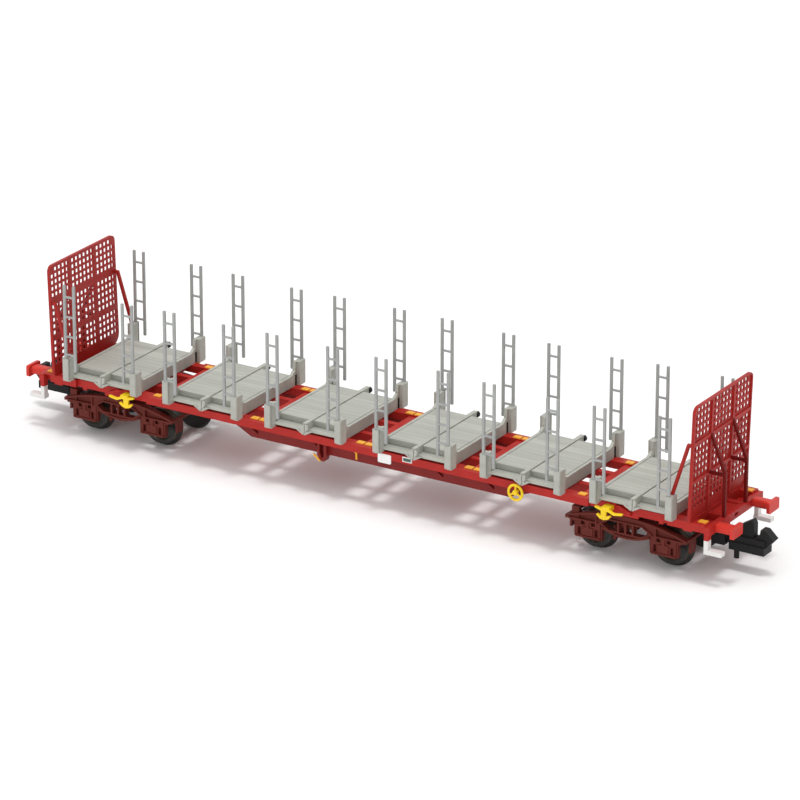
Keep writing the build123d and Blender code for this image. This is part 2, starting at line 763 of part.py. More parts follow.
# Coupler: shank on a pin, stepped head with riser, slanted prong and drop pin
with BuildPart() as coupler:
    box(coupler_pivot_x, head_x + head_half, -shank_half, shank_half, shank_z - shank_h / 2, shank_z + shank_h / 2)
    with Locations((coupler_pivot_x, 0, shank_z)):
        Cylinder(shank_eye_d / 2, shank_h)
    with Locations((coupler_pivot_x, 0, shank_z)):
        Cylinder(shank_pin_d / 2 + shank_pin_gap, 2 * shank_h, mode=Mode.SUBTRACT)
    box(head_x, head_front, -head_half, head_half, head_low, head_mid)
    box(head_x, head_front, -head_waist, head_waist, head_mid - 0.1, head_top)
    profile(((riser_x, head_mid), (riser_x + riser_w, head_mid), (riser_x + riser_w, riser_top - 0.7),
             (riser_x + riser_w - 0.35, riser_top), (riser_x, riser_top - 1.15)), -riser_t / 2, riser_t / 2)
    profile(((head_front - 1.7, head_top - 0.2), (head_front - 1.0, prong_top - 0.8), (head_front - 0.85, prong_top),
             (head_front - 0.1, prong_top), (prong_reach, prong_top - 1.3), (head_front - 0.2, prong_low),
             (head_front - 1.0, prong_low)), -prong_t / 2, prong_t / 2)
    with BuildSketch(Plane.XY.offset(drop_pin_low)):
        with Locations((drop_pin_x, 0)):
            Circle(drop_pin_d / 2)
    extrude(amount=head_mid - drop_pin_low)
save(coupler.part, "coupler_right")
save(turned(coupler.part), "coupler_left")

# Spigot pads on the sill tops
pad_places = [gap_x[0], gap_x[4], sill_half - pad_end, pad_end - sill_half, pad_bogie_x, -pad_bogie_x]
pad_places += [x + e * pad_pair for x in gap_x[1:4] for e in (-1, 1)]
with BuildPart() as pads:
    for x in pad_places:
        for t in (-1, 1):
            box(x - pad_w / 2, x + pad_w / 2, t * pad_y - pad_d / 2, t * pad_y + pad_d / 2, sill_top, sill_top + pad_t)
save(pads.part, "spigot_pads")

# Handwheels of the parking brake, one on each side
with BuildPart() as handwheel:
    hub = Plane(origin=(handwheel_x, -handwheel_y, handwheel_z), x_dir=(1, 0, 0), z_dir=(0, -1, 0))
    with BuildSketch(hub.offset(-wheel_rim_d / 2)):
        Circle(handwheel_d / 2)
        Circle(handwheel_d / 2 - wheel_rim_d, mode=Mode.SUBTRACT)
        with PolarLocations(0, 3, 90):
            with Locations((handwheel_d / 4 - wheel_rim_d / 4, 0)):
                Rectangle(handwheel_d / 2 - wheel_rim_d / 2, spoke_w)
        Circle(wheel_hub_d / 2)
    extrude(amount=wheel_rim_d)
    with BuildSketch(hub):
        Circle(wheel_hub_d / 2)
    extrude(amount=sill_y - handwheel_y)
save(handwheel.part + turned(handwheel.part), "handwheels")

# Distributor valves: block on the sill with two bent arms, a stem and a bowed handle
valve_shape = (
    {"piece": "stem", "points": ((-0.75, 0), (0.15, 0), (0.1, -1.4), (-0.7, -1.4))},
    {"piece": "inner arm", "points": ((-0.5, 0.05), (-1.75, 0.35), (-1.75, 0.02), (-0.5, -0.35))},
    {"piece": "outer arm", "points": ((0.5, 0.1), (1.4, -0.3), (2.8, -0.1), (2.8, -0.4), (1.35, -0.65), (0.5, -0.3))},
    {"piece": "handle", "points": ((-1.5, -1.0), (-1.0, -1.5), (-0.3, -1.7), (0.4, -1.5), (0.95, -1.0), (0.75, -0.8),
                                   (0.3, -1.0), (-0.3, -1.12), (-0.8, -1.05), (-1.3, -0.8))},
)
with BuildPart() as valves:
    for s in (-1, 1):
        box(s * (valve_x - 0.65), s * (valve_x + 0.65), -recess_y, -valve_y - valve_t / 2, valve_z - 0.3, valve_z + 0.35)
        for row in valve_shape:
            profile([(s * (valve_x + x), valve_z + z) for x, z in row["points"]],
                    -valve_y - valve_t / 2, -valve_y + valve_t / 2)
save(valves.part + turned(valves.part), "distributor_valves")

# Levers of the brake gear
with BuildPart() as levers:
    front = -belly_y - bracket_proud
    profile(((bracket_x - 1.45, bracket_foot + 0.95), (bracket_x - 1.25, bracket_foot + 1.07),
             (bracket_x - 0.1, bracket_foot + 0.1), (bracket_x - 0.3, bracket_foot)), front, front - lever_t)
    profile(((-1.75, sill_low - 0.1), (-1.3, sill_low - 0.25), (-1.25, belly_low + 0.35), (-1.5, belly_low + 0.35),
             (-1.55, sill_low - 0.5), (-1.8, sill_low - 0.4)), -belly_y, -belly_y - lever_t)
save(levers.part + turned(levers.part), "release_levers")

# Blank plates on the sills
with BuildPart() as white_plate:
    with BuildSketch(Plane.XZ.offset(sill_y)):
        with Locations((white_plate_x, white_plate_z)):
            plate_face = Rectangle(white_plate_w, white_plate_h)
        chamfer(plate_face.vertices(), white_plate_c)
    extrude(amount=plate_t)
save(white_plate.part + turned(white_plate.part), "plate_white")
with BuildPart() as green_plate:
    with BuildSketch(Plane.XZ.offset(sill_y)):
        with Locations((green_plate_x, green_plate_z)):
            Rectangle(green_plate_w, green_plate_h)
    extrude(amount=plate_t)
save(green_plate.part + turned(green_plate.part), "plate_green")
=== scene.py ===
"""Looks of the log carrier wagon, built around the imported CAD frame."""
import json
import math

import bmesh
import bpy
from mathutils import Matrix, Vector

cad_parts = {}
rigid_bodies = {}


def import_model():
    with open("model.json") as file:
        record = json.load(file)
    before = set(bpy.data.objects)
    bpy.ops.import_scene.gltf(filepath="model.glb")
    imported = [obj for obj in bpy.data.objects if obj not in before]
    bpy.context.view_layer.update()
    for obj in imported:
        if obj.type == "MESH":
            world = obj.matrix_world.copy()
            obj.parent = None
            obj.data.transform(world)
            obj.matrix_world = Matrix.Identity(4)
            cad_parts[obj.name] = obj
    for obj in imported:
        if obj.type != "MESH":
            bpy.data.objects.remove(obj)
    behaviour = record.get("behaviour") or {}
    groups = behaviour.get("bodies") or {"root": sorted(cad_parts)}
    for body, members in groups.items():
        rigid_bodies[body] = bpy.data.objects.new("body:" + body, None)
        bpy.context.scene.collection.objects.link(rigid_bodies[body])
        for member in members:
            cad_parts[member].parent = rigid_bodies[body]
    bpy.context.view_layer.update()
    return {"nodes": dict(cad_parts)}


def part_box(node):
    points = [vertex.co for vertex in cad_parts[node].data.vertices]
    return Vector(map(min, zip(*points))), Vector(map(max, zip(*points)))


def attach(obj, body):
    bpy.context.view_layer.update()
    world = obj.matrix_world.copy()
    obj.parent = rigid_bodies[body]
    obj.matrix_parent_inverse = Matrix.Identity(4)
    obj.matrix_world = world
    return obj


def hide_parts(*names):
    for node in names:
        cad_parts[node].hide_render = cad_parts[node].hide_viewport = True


bl_info = {
    "name": "Log carrier wagon",
    "version": (1, 0, 0),
    "blender": (4, 5, 0),
    "location": "View3D > Sidebar > Wagon",
    "description": "Finishes, small pieces and studio for a model log carrier wagon",
    "category": "Object",
}

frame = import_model()
NODES = frame["nodes"]
MM = 0.001
# Millimetres from the middle of the wagon to a bogie's pivot
PIVOT = 44.4
PALLETS = range(1, 7)
HALF_TURN = Matrix.Rotation(math.pi, 4, "Z")
# Band in which most values of a noise lie
NOISE_LOW, NOISE_HIGH = 0.3, 0.7
ABS_IOR = 1.53
# A face looks along an axis if its normal has this share of it
FACING = 0.9


def linear(code):
    """Linear colour of an sRGB hex value."""
    parts = [int(code[i:i + 2], 16) / 255 for i in (1, 3, 5)]
    return tuple(c / 12.92 if c <= 0.04045 else ((c + 0.055) / 1.055) ** 2.4 for c in parts)


def colour(name, note, code):
    """A colour property with its default from a hex value."""
    return bpy.props.FloatVectorProperty(name=name, description=note, subtype="COLOR", size=3,
                                         min=0, max=1, default=linear(code))


def length(name, note, size_mm):
    """A length property with its default in millimetres."""
    return bpy.props.FloatProperty(name=name, description=note, unit="LENGTH", min=0, precision=5,
                                   default=size_mm * MM)


class WagonColours(bpy.types.PropertyGroup):
    """Colours of the mouldings"""
    frame_red: colour("Frame red", "Sills, headstocks and cross members", "#AE251F")
    buffer_red: colour("Buffer red", "Buffers", "#CF382E")
    # Painted shade: the fish belly webs are drawn darker than the frame, for the shade under the
    # sill's edge
    belly_shaded_red: colour("Belly red", "Fish belly webs", "#791D1A")
    # Painted shade: the end walls, braces and end panels are drawn in a deeper red than the frame,
    # for the shade at the ends of the wagon
    wall_red: colour("Wall red", "End walls, braces and end panels", "#A1221D")
    # Painted shade: the struts' red is very dark for their shade
    strut_shaded_red: colour("Strut red", "Outer struts of the end walls", "#670F0D")
    pallet_grey: colour("Pallet grey", "Decks, posts and end plates", "#AFB0A7")
    ladder_grey: colour("Ladder grey", "Stake ladders", "#A0A2A0")
    bogie_brown: colour("Bogie brown", "Bogie side frames", "#60251E")
    wheel_dark: colour("Wheel black", "Blackened wheel discs", "#2B2A28")
    tread_tan: colour("Tread tan", "Worn treads and flanges", "#6F6A58")
    coupler_black: colour("Coupler black", "Hook couplers and pockets", "#161717")
    step_white: colour("Step white", "Shunter's steps", "#E2E1DE")
    control_yellow: colour("Control yellow", "Handwheels and valves", "#F5D01F")
    pad_orange: colour("Pad orange", "Spigot pads and levers", "#F0AE36")
    plate_white: colour("Plate white", "Blank plate", "#F2F2F0")
    plate_green: colour("Plate green", "Green panel", "#3F5C50")
    floor_white: colour("Floor white", "Studio floor", "#FFFFFF")


class WagonSizes(bpy.types.PropertyGroup):
    """Sizes of edges, grain and small pieces"""
    pallet_edge: length("Pallet edge", "Edge rounding of the pallets", 0.09)
    frame_edge: length("Frame edge", "Edge rounding of the frame", 0.06)
    bogie_edge: length("Bogie edge", "Edge rounding of the bogies", 0.07)
    rail_edge: length("Rail edge", "Edge rounding of ladders, struts and braces", 0.05)
    coupler_edge: length("Coupler edge", "Edge rounding of the couplers", 0.12)
    mould_grain: length("Mould grain", "Grain of the spark-eroded mould surface", 0.12)
    plank: length("Plank", "Width of the deck planks", 1.1)
    rim: length("Handwheel rim", "Half thickness of the handwheel's round rim", 0.2)
    spoke: length("Handwheel spoke", "Half thickness of a handwheel spoke", 0.15)
    hub: length("Handwheel hub", "Half width of the handwheel's hub", 0.42)
    beam: length("Brake beam", "Thickness of the brake beams in the bogies", 0.5)
    lug: length("Hook lug", "Radius of the half-round lugs at the rib ends", 0.5)
    screw: length("Pivot screw", "Half width of the screw heads under the bogies", 1.25)
    mottle: length("Mottle", "Size of the uneven shade in the plastic", 2.5)


def add(tree, kind, links=None, **settings):
    """Adds a node with its settings, constants and links."""
    node = tree.nodes.new(kind)
    for key, value in settings.items():
        setattr(node, key, value)
    for key, value in (links or {}).items():
        if isinstance(value, bpy.types.NodeSocket):
            tree.links.new(value, node.inputs[key])
        else:
            node.inputs[key].default_value = value
    return node


def new_material(name):
    """An empty node material with its output."""
    material = bpy.data.materials.new(name)
    material.use_nodes = True
    material.node_tree.nodes.clear()
    return material, material.node_tree, add(material.node_tree, "ShaderNodeOutputMaterial")


def rgba(values, gain=1.0):
    """A colour made lighter or darker, with full alpha."""
    return tuple(min(1.0, v * gain) for v in values) + (1.0,)


def plank_joints(tree, apart, width, skin, relief):
    """Engraved joints between planks on faces that look up, and each plank's own shade."""
    joint_share, joint_dark, joint_depth = 0.14, 0.22, 0.03 * MM
    darkest, palest, soot = 0.93, 1.05, rgba(linear("#272727"))
    normal = add(tree, "ShaderNodeNewGeometry").outputs["Normal"]
    up = add(tree, "ShaderNodeSeparateXYZ", {"Vector": normal}).outputs["Z"]
    flat = add(tree, "ShaderNodeMath", {0: up, 1: FACING}, operation="GREATER_THAN").outputs[0]
    board = add(tree, "ShaderNodeMath", {0: apart["Y"], 1: width}, operation="DIVIDE").outputs[0]
    across = add(tree, "ShaderNodeMath", {0: board}, operation="FRACT").outputs[0]
    joint = add(tree, "ShaderNodeMapRange", {"Value": across, "From Min": 0.0, "To Min": 1.0,
                                             "From Max": joint_share, "To Max": 0.0})
    joint = add(tree, "ShaderNodeMath", {0: joint.outputs["Result"], 1: flat},
                operation="MULTIPLY").outputs[0]
    number = add(tree, "ShaderNodeMath", {0: board}, operation="FLOOR").outputs[0]
    each = add(tree, "ShaderNodeTexWhiteNoise", {"W": number}, noise_dimensions="1D")
    tone = add(tree, "ShaderNodeMapRange", {"Value": each.outputs["Value"], "To Min": darkest,
                                            "To Max": palest}).outputs["Result"]
    skin = add(tree, "ShaderNodeVectorMath", {0: skin, "Scale": tone},
               operation="SCALE").outputs["Vector"]
    dark = add(tree, "ShaderNodeMath", {0: joint, 1: joint_dark}, operation="MULTIPLY").outputs[0]
    skin = add(tree, "ShaderNodeMix", {"Factor": dark, "A": skin, "B": soot},
               data_type="RGBA").outputs["Result"]
    relief = add(tree, "ShaderNodeBump", {"Height": joint, "Strength": 0.6, "Normal": relief,
                                          "Distance": joint_depth}, invert=True).outputs["Normal"]
    return skin, relief


def painted_end_shade(tree, apart, end_shade, skin):
    """Painted shade: a field of another colour at both ends of the wagon, for the shade of the end
    walls.
    """
    inside = []
    for axis, middle, half in (("X", end_shade["middle"], end_shade["reach"]), ("Y", 0.0, end_shade["half"])):
        off = add(tree, "ShaderNodeMath", {0: apart[axis]}, operation="ABSOLUTE").outputs[0]
        if middle:
            off = add(tree, "ShaderNodeMath", {0: off, 1: middle}, operation="SUBTRACT").outputs[0]
            off = add(tree, "ShaderNodeMath", {0: off}, operation="ABSOLUTE").outputs[0]
        inside.append(add(tree, "ShaderNodeMath", {0: off, 1: half},
                          operation="LESS_THAN").outputs[0])
    there = add(tree, "ShaderNodeMath", {0: inside[0], 1: inside[1]},
                operation="MULTIPLY").outputs[0]
    return add(tree, "ShaderNodeMix", {"Factor": there, "A": skin, "B": rgba(end_shade["colour"])},
               data_type="RGBA").outputs["Result"]


def printed_border(tree, apart, border, skin):
    """A white line round a field, which is given by its middle and half size along X and Z."""
    white = rgba(linear("#E7E7E5"))
    outside = []
    for axis in ("X", "Z"):
        middle, half = border[axis]
        off = add(tree, "ShaderNodeMath", {0: apart[axis]}, operation="ABSOLUTE").outputs[0]
        off = add(tree, "ShaderNodeMath", {0: off, 1: middle}, operation="SUBTRACT").outputs[0]
        off = add(tree, "ShaderNodeMath", {0: off}, operation="ABSOLUTE").outputs[0]
        outside.append(add(tree, "ShaderNodeMath", {0: off, 1: half},
                           operation="GREATER_THAN").outputs[0])
    ring = add(tree, "ShaderNodeMath", {0: outside[0], 1: outside[1]},
               operation="MAXIMUM").outputs[0]
    return add(tree, "ShaderNodeMix", {"Factor": ring, "A": skin, "B": white},
               data_type="RGBA").outputs["Result"]


def moulded_abs(name, base, rough, spread=0.10, streak=(1, 1, 1), bump=0.25, gloss=0.3,
                plank=0.0, end_shade=None, border=None):
    """Injection moulded ABS, self-coloured: an even satin skin with the fine grain of the mould, a
    slow unevenness of shade, and a roughness that changes a little over the surface. The real grain
    is too fine to show, so it is drawn a few times coarser. Planks, painted shade on the end panels
    or a printed border are drawn where their sizes are given."""
    sizes = bpy.context.scene.wagon_sizes
    smoother, rougher, grain_depth = 0.06, 0.08, 0.01 * MM
    material, tree, out = new_material(name)
    place = add(tree, "ShaderNodeTexCoord").outputs["Object"]
    apart = add(tree, "ShaderNodeSeparateXYZ", {"Vector": place}).outputs
    stretched = add(tree, "ShaderNodeMapping", {"Vector": place, "Scale": streak}).outputs["Vector"]
    shade = add(tree, "ShaderNodeTexNoise", {"Vector": stretched, "Scale": 1 / sizes.mottle,
                                             "Detail": 5.0, "Roughness": 0.6}).outputs["Fac"]
    grain = add(tree, "ShaderNodeTexNoise", {"Vector": stretched, "Scale": 1 / sizes.mould_grain,
                                             "Detail": 2.0, "Roughness": 0.5}).outputs["Fac"]
    tint = add(tree, "ShaderNodeValToRGB", {"Fac": shade})
    for stop, at, gain in zip(tint.color_ramp.elements, (NOISE_LOW, NOISE_HIGH), (-spread, spread)):
        stop.position = at
        stop.color = rgba(base, 1 + gain)
    satin = add(tree, "ShaderNodeMapRange", {"Value": grain, "From Min": NOISE_LOW,
                                             "From Max": NOISE_HIGH, "To Min": rough - smoother,
                                             "To Max": rough + rougher})
    relief = add(tree, "ShaderNodeBump", {"Height": grain, "Strength": bump,
                                          "Distance": grain_depth}).outputs["Normal"]
    skin = tint.outputs["Color"]
    if plank:
        skin, relief = plank_joints(tree, apart, plank, skin, relief)
    # Painted shade at both ends of the frame top
    if end_shade:
        skin = painted_end_shade(tree, apart, end_shade, skin)
    if border:
        skin = printed_border(tree, apart, border, skin)
    shader = add(tree, "ShaderNodeBsdfPrincipled", {
        "Base Color": skin, "Roughness": satin.outputs["Result"], "Normal": relief,
        "IOR": ABS_IOR, "Specular IOR Level": gloss})
    tree.links.new(shader.outputs["BSDF"], out.inputs["Surface"])
    return material


def plated_metal(name, base, worn):
    """Turned and plated metal: dull faces with a cloudy sheen, and on wheels the treads and flanges
    polished through to another shade by running."""
    cloud_size, polished, dull, metallic = 0.6 * MM, 0.30, 0.5, 0.35
    disc, tread = 0.75, 0.45
    material, tree, out = new_material(name)
    place = add(tree, "ShaderNodeTexCoord").outputs["Object"]
    cloud = add(tree, "ShaderNodeTexNoise", {"Vector": place, "Scale": 1 / cloud_size,
                                             "Detail": 4.0}).outputs["Fac"]
    sheen = add(tree, "ShaderNodeMapRange", {"Value": cloud, "From Min": NOISE_LOW,
                                             "From Max": NOISE_HIGH, "To Min": polished,
                                             "To Max": dull})
    normal = add(tree, "ShaderNodeNewGeometry").outputs["Normal"]
    across = add(tree, "ShaderNodeSeparateXYZ", {"Vector": normal}).outputs["Y"]
    facing = add(tree, "ShaderNodeMath", {0: across}, operation="ABSOLUTE").outputs["Value"]
    rolling = add(tree, "ShaderNodeMapRange", {"Value": facing, "From Min": disc, "From Max": tread,
                                               "To Min": 0.0, "To Max": 1.0}).outputs["Result"]
    wear = add(tree, "ShaderNodeMath", {0: rolling, 1: cloud},
               operation="MULTIPLY").outputs["Value"]
    plating = add(tree, "ShaderNodeMix", {"Factor": wear, "A": rgba(base), "B": rgba(worn)},
                  data_type="RGBA")
    shader = add(tree, "ShaderNodeBsdfPrincipled", {
        "Base Color": plating.outputs["Result"], "Metallic": metallic,
        "Roughness": sheen.outputs["Result"]})
    tree.links.new(shader.outputs["BSDF"], out.inputs["Surface"])
    return material


def deselect():
    """Nothing selected, in object mode."""
    if bpy.context.object and bpy.context.object.mode != "OBJECT":
        bpy.ops.object.mode_set(mode="OBJECT")
    bpy.ops.object.select_all(action="DESELECT")


def named(*starts):
    """CAD nodes whose names start with these words."""
    return [name for name in sorted(NODES) if name.startswith(starts)]


def dress(names, material):
    """Gives CAD nodes their finish."""
    for name in names:
        node = NODES[name]
        node.data.materials.clear()
        node.data.materials.append(material)


def round_edges(names, width, segments=2):
    """Welds a node's triangles and rounds its sharp edges, with live modifiers."""
    for name in names:
        node = NODES[name]
        node.modifiers.new("weld", "WELD").merge_threshold = 0.001 * MM
        bevel = node.modifiers.new("edges", "BEVEL")
        bevel.width = width
        bevel.segments = segments
        bevel.limit_method = "ANGLE"
        bevel.angle_limit = math.radians(35)


def pick_faces(test):
    """Selects just the faces of the edited mesh that pass a test on centre and normal."""
    bpy.ops.mesh.select_all(action="DESELECT")
    bpy.ops.mesh.select_mode(type="FACE")
    sheet = bmesh.from_edit_mesh(bpy.context.object.data)
    picked = [f for f in sheet.faces if test(f.calc_center_median(), f.normal)]
    if not picked:
        raise RuntimeError("no face found to shape on " + bpy.context.object.name)
    for face in picked:
        face.select_set(True)
    bmesh.update_edit_mesh(bpy.context.object.data)


def extrude(move):
    """Draws out the selected faces along a vector."""
    bpy.ops.mesh.extrude_region_move(TRANSFORM_OT_translate={"value": move})


def block(size, place, stretch, first=False):
    """A cube with its size and place in millimetres, stretched in edit mode. The first one of a
    piece is added in object mode and opened for editing."""
    if first:
        deselect()
    bpy.ops.mesh.primitive_cube_add(size=size * MM, location=Vector(place) * MM)
    if first:
        bpy.ops.object.transform_apply(location=True, rotation=True, scale=True)
        bpy.ops.object.mode_set(mode="EDIT")
        bpy.ops.mesh.select_all(action="SELECT")
    bpy.ops.transform.resize(value=stretch)


def round_blocks(width, segments):
    """Rounds all edges of the edited mesh, to a width in millimetres."""
    bpy.ops.mesh.select_all(action="SELECT")
    bpy.ops.mesh.bevel(offset=width * MM, segments=segments, affect="EDGES")


def finished(name, material, body, angle):
    """Closes edit mode, settles the piece at the origin and gives it its finish and body."""
    bpy.ops.mesh.select_all(action="SELECT")
    bpy.ops.mesh.normals_make_consistent(inside=False)
    bpy.ops.object.mode_set(mode="OBJECT")
    piece = bpy.context.object
    piece.name = name
    bpy.ops.object.transform_apply(location=True, rotation=True, scale=True)
    bpy.ops.object.shade_smooth_by_angle(angle=math.radians(angle))
    piece.data.materials.append(material)
    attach(piece, body)
    return piece


def copied(piece, name, body, move):
    """A copy with its own mesh, moved or turned by a matrix."""
    copy = piece.copy()
    copy.data = piece.data.copy()
    copy.data.transform(move)
    copy.name = name
    bpy.context.collection.objects.link(copy)
    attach(copy, body)
    return copy


def on_each_pallet(master):
    """Sets a piece that is modelled at the middle of the wagon on every pallet."""
    name = master.name
    moves = {}
    for pallet in PALLETS:
        low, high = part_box(f"pallet_{pallet}")
        moves[pallet] = Matrix.Translation(((low[0] + high[0]) / 2, 0, 0))
    for pallet in PALLETS[1:]:
        copied(master, f"{name}_{pallet}", "wagon", moves[pallet])
    master.name = f"{name}_{PALLETS[0]}"
    master.data.transform(moves[PALLETS[0]])


class WAGON_OT_frame(bpy.types.Operator):
    """Red main frame, fish bellies, buffers and step hangers"""
    bl_idname = "wagon.frame"
    bl_label = "Main frame"

    def execute(self, context):
        colours, sizes = context.scene.wagon_colours, context.scene.wagon_sizes
        # Painted shade: the panels behind the end walls are drawn in the walls' deeper red, for the
        # shade the walls cast on them
        end_shade = {"middle": 56.6 * MM, "reach": 1.5 * MM, "half": 5.6 * MM,
                 "colour": colours.wall_red}
        red = moulded_abs("moulded ABS traffic red", colours.frame_red, rough=0.42, gloss=0.2,
                          end_shade=end_shade)
        dress(named("underframe", "step_hangers", "pivot_"), red)
        # Brighter buffers and the fish belly webs, each a moulding of its own; the webs' deeper red
        # is painted shade, for the shade under the sill's edge
        bright = moulded_abs("moulded ABS buffer red", colours.buffer_red, rough=0.42, gloss=0.2)
        dress(named("buffers"), bright)
        shaded_web = moulded_abs("moulded ABS web red with painted shade", colours.belly_shaded_red, rough=0.45, gloss=0.2)
        dress(named("fish_belly"), shaded_web)
        round_edges(named("underframe", "fish_belly", "buffers", "step_hangers"), sizes.frame_edge)
        return {"FINISHED"}


class WAGON_OT_walls(bpy.types.Operator):
    """Perforated end walls with struts and braces"""
    bl_idname = "wagon.walls"
    bl_label = "End walls"

    def execute(self, context):
        colours, sizes = context.scene.wagon_colours, context.scene.wagon_sizes
        # Painted shade: the walls and braces get a deeper red for their shade
        red = moulded_abs("moulded ABS wall red with painted shade", colours.wall_red, rough=0.45, gloss=0.2)
        dress(named("end_wall", "wall_braces"), red)
        # The thin struts are drawn very dark, which is painted shade, with hardly any sheen
        dark = moulded_abs("moulded ABS strut red with painted shade", colours.strut_shaded_red, rough=0.45, gloss=0.12)
        dress(named("wall_struts"), dark)
        round_edges(named("wall_"), sizes.rail_edge)
        return {"FINISHED"}


class WAGON_OT_pallets(bpy.types.Operator):
    """Grey log pallets"""
    bl_idname = "wagon.pallets"
    bl_label = "Pallets"

    def execute(self, context):
        colours, sizes = context.scene.wagon_colours, context.scene.wagon_sizes
        # The mould's wood grain gives faint streaks along the planks
        grey = moulded_abs("moulded ABS plank grey", colours.pallet_grey, rough=0.55, spread=0.08,
                           streak=(0.25, 2.2, 2.2), bump=0.35, plank=sizes.plank)
        dress(named("pallet_"), grey)
        round_edges(named("pallet_"), sizes.pallet_edge)
        return {"FINISHED"}


class WAGON_OT_ladders(bpy.types.Operator):
    """Stake ladders"""
    bl_idname = "wagon.ladders"
    bl_label = "Stake ladders"

    def execute(self, context):
        colours, sizes = context.scene.wagon_colours, context.scene.wagon_sizes
        grey = moulded_abs("moulded ABS stake grey", colours.ladder_grey, rough=0.45)
        dress(named("ladders_"), grey)
        round_edges(named("ladders_"), sizes.rail_edge)
        return {"FINISHED"}


class WAGON_OT_running_gear(bpy.types.Operator):
    """Bogie frames and wheelsets"""
    bl_idname = "wagon.running_gear"
    bl_label = "Running gear"

    def execute(self, context):
        colours, sizes = context.scene.wagon_colours, context.scene.wagon_sizes
        # An uneven matt brown, like oxide paint
        brown = moulded_abs("moulded ABS oxide brown", colours.bogie_brown, rough=0.55, spread=0.12,
                            gloss=0.15)
        dress(named("bogie_frame"), brown)
        round_edges(named("bogie_frame"), sizes.bogie_edge)
        # Chemical blackening leaves dark discs, and running wears the treads to a dull tan
        black = plated_metal("blackened turned metal", colours.wheel_dark, colours.tread_tan)
        dress(named("wheelset"), black)
        return {"FINISHED"}


class WAGON_OT_couplers(bpy.types.Operator):
    """Hook couplers and their pockets"""
    bl_idname = "wagon.couplers"
    bl_label = "Couplers"

    def execute(self, context):
        colours, sizes = context.scene.wagon_colours, context.scene.wagon_sizes
        # Acetal is waxy, so it is duller than the ABS
        black = moulded_abs("moulded acetal black", colours.coupler_black, rough=0.55, spread=0.15,
                            gloss=0.2)
        dress(named("coupler"), black)
        round_edges(named("coupler_left", "coupler_right"), sizes.coupler_edge, segments=3)
        return {"FINISHED"}


class WAGON_OT_fittings(bpy.types.Operator):
    """Steps, handwheels, valves, pads, levers and blank plates"""
    bl_idname = "wagon.fittings"
    bl_label = "Small fittings"

    def execute(self, context):
        colours, sizes = context.scene.wagon_colours, context.scene.wagon_sizes
        white = moulded_abs("moulded ABS white", colours.step_white, rough=0.45, spread=0.04)
        dress(named("corner_steps"), white)
        yellow = moulded_abs("moulded ABS yellow", colours.control_yellow, rough=0.45, spread=0.06)
        dress(named("handwheels", "distributor"), yellow)
        # Pad printing is even in colour and a little flatter than the moulding
        orange = moulded_abs("printed ABS orange", colours.pad_orange, rough=0.5, spread=0.06)
        dress(named("spigot", "release"), orange)
        blank = moulded_abs("printed ABS white", colours.plate_white, rough=0.5, spread=0.03)
        dress(named("plate_white"), blank)
        field = {"X": (8.03 * MM, 0.66 * MM), "Z": (8.75 * MM, 0.26 * MM)}
        green = moulded_abs("printed ABS green", colours.plate_green, rough=0.5, spread=0.06,
                            border=field)
        dress(named("plate_green"), green)
        round_edges(named("corner_steps", "distributor"), sizes.frame_edge)
        return {"FINISHED"}


class WAGON_OT_handwheels(bpy.types.Operator):
    """Handwheels of the parking brake: a round rim on three spokes, with a hub, nut and shaft"""
    bl_idname = "wagon.handwheels"
    bl_label = "Handwheels"

    def execute(self, context):
        sizes = context.scene.wagon_sizes
        low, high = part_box("handwheels")
        radius = (high[2] - low[2]) / 2
        reach = radius - sizes.rim
        shaft = 1.3 * sizes.spoke
        nut_edge, nut_height, nut_taper = 0.3 * sizes.hub, 0.6 * sizes.rim, 0.8
        centre = Vector((high[0] - radius, low[1] + sizes.rim, (high[2] + low[2]) / 2))
        outward = Vector((0, -1, 0))
        across = (math.pi / 2, 0, 0)
        deselect()
        bpy.ops.mesh.primitive_torus_add(location=centre, rotation=across, major_segments=48,
                                         minor_segments=12, major_radius=reach,
                                         minor_radius=sizes.rim)
        bpy.ops.object.mode_set(mode="EDIT")
        for turn in (90, 210, 330):
            angle = math.radians(turn)
            arm = Vector((math.cos(angle), 0, math.sin(angle)))
            bpy.ops.mesh.primitive_cylinder_add(vertices=12, radius=sizes.spoke, depth=reach,
                                                location=centre + arm * reach / 2,
                                                rotation=(0, math.pi / 2 - angle, 0))
        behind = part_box("underframe")[0][1] - centre.y
        bpy.ops.mesh.primitive_cylinder_add(vertices=12, radius=shaft, depth=behind,
                                            location=centre - outward * behind / 2, rotation=across)
        bpy.ops.mesh.primitive_cylinder_add(vertices=24, radius=sizes.hub, depth=2 * sizes.rim,
                                            location=centre, rotation=across)
        # The wheel lies flat in its own axes, so the hub's outer face looks up
        pick_faces(lambda at, way: way.z > FACING and at.xy.length < 0.1 * sizes.rim
                   and at.z > 0.9 * sizes.rim)
        bpy.ops.mesh.inset(thickness=nut_edge)
        extrude(outward * nut_height)
        bpy.ops.transform.resize(value=(nut_taper, 1, nut_taper))
        yellow = bpy.data.materials["moulded ABS yellow"]
        near = finished("handwheel_near", yellow, "wagon", angle=50)
        far = copied(near, "handwheel_far", "wagon", HALF_TURN)
        for wheel in (near, far):
            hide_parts("handwheels")
        return {"FINISHED"}


